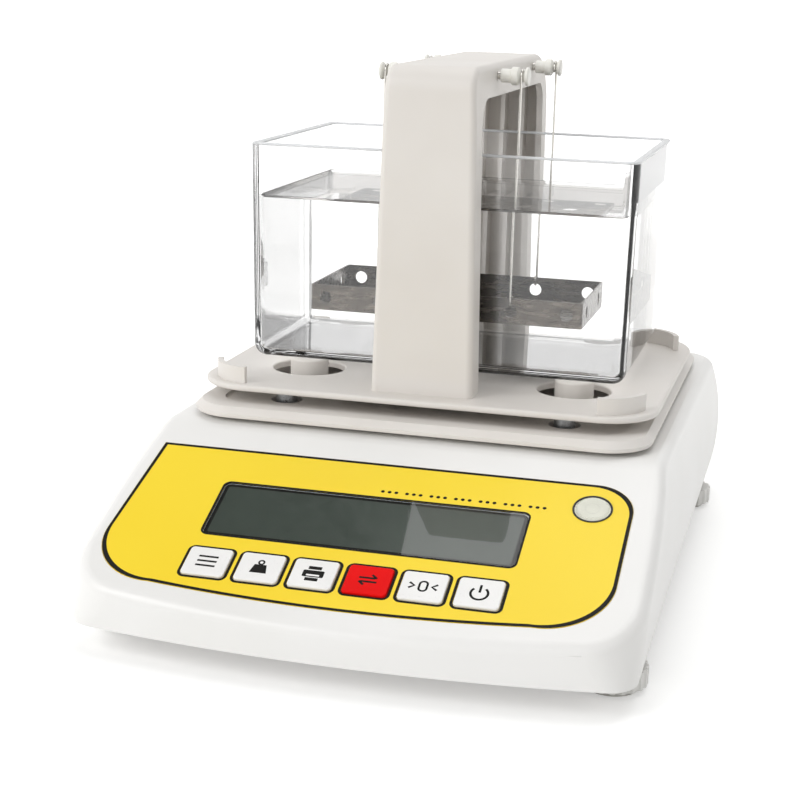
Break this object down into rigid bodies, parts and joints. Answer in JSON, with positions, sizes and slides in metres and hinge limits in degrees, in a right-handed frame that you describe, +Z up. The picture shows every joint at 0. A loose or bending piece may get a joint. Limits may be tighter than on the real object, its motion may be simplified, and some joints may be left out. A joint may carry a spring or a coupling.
{
  "type": "benchtop density meter",
  "caption": "Benchtop balance for density: sloping panel with display and keys, weighing tray with an arch over a clear water tank, and a basket hung in the water from the arch.",
  "frame": {"origin": "on the bench under the middle of the housing, at the bottom centre of the bounding box", "axes": "+Z up, +Y from the control panel to the back, +X to the right as seen from the front"},
  "size_m": [0.1968, 0.291, 0.1955],
  "materials": {
    "housing_abs": "white, gloss moulded",
    "grey_abs": "warm light grey, satin moulded",
    "overlay_print": "yellow printed sheet with a thin black border",
    "lcd_window": "dark window over a grey green display",
    "lcd": "grey green display",
    "key_white": "white key",
    "key_red": "red key",
    "clear_acrylic": "clear moulded acrylic",
    "stainless": "stainless sheet and wire",
    "steel": "zinc plated screws",
    "aluminium": "machined aluminium",
    "board": "green circuit board",
    "black_plastic": "black plastic",
    "white_nylon": "white nylon",
    "foot_white": "white knurled wheel",
    "rubber": "black rubber",
    "level_glass": "clear level capsule"
  },
  "bodies": {
    "base": {"upper_housing": "housing_abs", "bottom_cover": "grey_abs", "cover_screws": "steel", "panel_overlay": "overlay_print", "lcd_window": "lcd_window", "display_board": "board", "lcd_module": "lcd", "key_switches": "black_plastic", "display_screws": "steel", "bubble_level": "level_glass", "level_ring": "black_plastic", "main_board": "board", "connector_board": "board", "board_screws": "steel", "board_chips": "black_plastic", "converter_shield": "stainless", "dc_jack": "black_plastic", "serial_port": "black_plastic", "port_nuts": "steel", "load_cell": "aluminium", "load_cell_block": "aluminium", "load_cell_screws": "steel", "overload_stops": "steel", "support_plate": "grey_abs", "tank_posts": "grey_abs", "post_screws": "steel"},
    "pan": {"pan_spider": "aluminium", "spider_screws": "steel", "pan_studs": "steel", "pan_tray": "grey_abs", "arch_screws": "steel", "arch": "grey_abs", "front_pin": "stainless", "rear_pin": "stainless", "pin_caps": "white_nylon"},
    "front_hanger": {"front_wires": "stainless"},
    "rear_hanger": {"rear_wires": "stainless"},
    "basket": {"basket": "stainless"},
    "tank": {"tank": "clear_acrylic"},
    "key_function": {"key_function": "key_white"},
    "key_calibrate": {"key_calibrate": "key_white"},
    "key_print": {"key_print": "key_white"},
    "key_mode": {"key_mode": "key_red"},
    "key_zero": {"key_zero": "key_white"},
    "key_power": {"key_power": "key_white"},
    "pad_front_left": {"foot_pad_front_left": "rubber"},
    "wheel_front_left": {"foot_wheel_front_left": "foot_white"},
    "pad_front_right": {"foot_pad_front_right": "rubber"},
    "wheel_front_right": {"foot_wheel_front_right": "foot_white"},
    "pad_back_left": {"foot_pad_back_left": "rubber"},
    "wheel_back_left": {"foot_wheel_back_left": "foot_white"},
    "pad_back_right": {"foot_pad_back_right": "rubber"},
    "wheel_back_right": {"foot_wheel_back_right": "foot_white"}
  },
  "joints": [
    {"name": "pan_travel", "type": "slide", "parent": "base", "child": "pan", "axis": [0, 0, 1], "range_m": [-0.0003, 0.0003], "stiffness_N_per_m": 20000, "springref_m": 0.00015, "deforming": ["load_cell"]},
    {"name": "front_wire_swing", "type": "hinge", "parent": "pan", "child": "front_hanger", "pos_m": [0, 0.0034, 0.191], "axis": [1, 0, 0], "range_deg": [-4, 4]},
    {"name": "rear_wire_swing", "type": "hinge", "parent": "pan", "child": "rear_hanger", "pos_m": [0, 0.0726, 0.191], "axis": [1, 0, 0], "range_deg": [-4, 4]},
    {"name": "basket_level", "type": "hinge", "parent": "front_hanger", "child": "basket", "pos_m": [0, 0.0034, 0.10495], "axis": [1, 0, 0], "range_deg": [-4, 4]},
    {"name": "tank_lift", "type": "slide", "parent": "base", "child": "tank", "axis": [0, 0, 1], "range_m": [0, 0.012]},
    {"name": "key_function_press", "type": "slide", "parent": "base", "child": "key_function", "axis": [0, 0.4015, -0.9159], "range_m": [0, 0.0004], "stiffness_N_per_m": 1500},
    {"name": "key_calibrate_press", "type": "slide", "parent": "base", "child": "key_calibrate", "axis": [0, 0.4015, -0.9159], "range_m": [0, 0.0004], "stiffness_N_per_m": 1500},
    {"name": "key_print_press", "type": "slide", "parent": "base", "child": "key_print", "axis": [0, 0.4015, -0.9159], "range_m": [0, 0.0004], "stiffness_N_per_m": 1500},
    {"name": "key_mode_press", "type": "slide", "parent": "base", "child": "key_mode", "axis": [0, 0.4015, -0.9159], "range_m": [0, 0.0004], "stiffness_N_per_m": 1500},
    {"name": "key_zero_press", "type": "slide", "parent": "base", "child": "key_zero", "axis": [0, 0.4015, -0.9159], "range_m": [0, 0.0004], "stiffness_N_per_m": 1500},
    {"name": "key_power_press", "type": "slide", "parent": "base", "child": "key_power", "axis": [0, 0.4015, -0.9159], "range_m": [0, 0.0004], "stiffness_N_per_m": 1500},
    {"name": "foot_height_front_left", "type": "slide", "parent": "base", "child": "pad_front_left", "axis": [0, 0, 1], "range_m": [-0.005, 0.0005]},
    {"name": "foot_turn_front_left", "type": "hinge", "parent": "pad_front_left", "child": "wheel_front_left", "pos_m": [-0.0865, -0.108, 0.0055], "axis": [0, 0, 1], "range_deg": [-1450, 150]},
    {"name": "foot_height_front_right", "type": "slide", "parent": "base", "child": "pad_front_right", "axis": [0, 0, 1], "range_m": [-0.005, 0.0005]},
    {"name": "foot_turn_front_right", "type": "hinge", "parent": "pad_front_right", "child": "wheel_front_right", "pos_m": [0.0865, -0.108, 0.0055], "axis": [0, 0, 1], "range_deg": [-1450, 150]},
    {"name": "foot_height_back_left", "type": "slide", "parent": "base", "child": "pad_back_left", "axis": [0, 0, 1], "range_m": [-0.005, 0.0005]},
    {"name": "foot_turn_back_left", "type": "hinge", "parent": "pad_back_left", "child": "wheel_back_left", "pos_m": [-0.0865, 0.108, 0.0055], "axis": [0, 0, 1], "range_deg": [-1450, 150]},
    {"name": "foot_height_back_right", "type": "slide", "parent": "base", "child": "pad_back_right", "axis": [0, 0, 1], "range_m": [-0.005, 0.0005]},
    {"name": "foot_turn_back_right", "type": "hinge", "parent": "pad_back_right", "child": "wheel_back_right", "pos_m": [0.0865, 0.108, 0.0055], "axis": [0, 0, 1], "range_deg": [-1450, 150]}
  ],
  "couplings": [
    {"joint": "rear_wire_swing", "follows": "front_wire_swing", "ratio": 1},
    {"joint": "basket_level", "follows": "front_wire_swing", "ratio": -1},
    {"joint": "foot_turn_front_left", "follows": "foot_height_front_left", "rad_per_m": 5026.5},
    {"joint": "foot_turn_front_right", "follows": "foot_height_front_right", "rad_per_m": 5026.5},
    {"joint": "foot_turn_back_left", "follows": "foot_height_back_left", "rad_per_m": 5026.5},
    {"joint": "foot_turn_back_right", "follows": "foot_height_back_right", "rad_per_m": 5026.5}
  ]
}
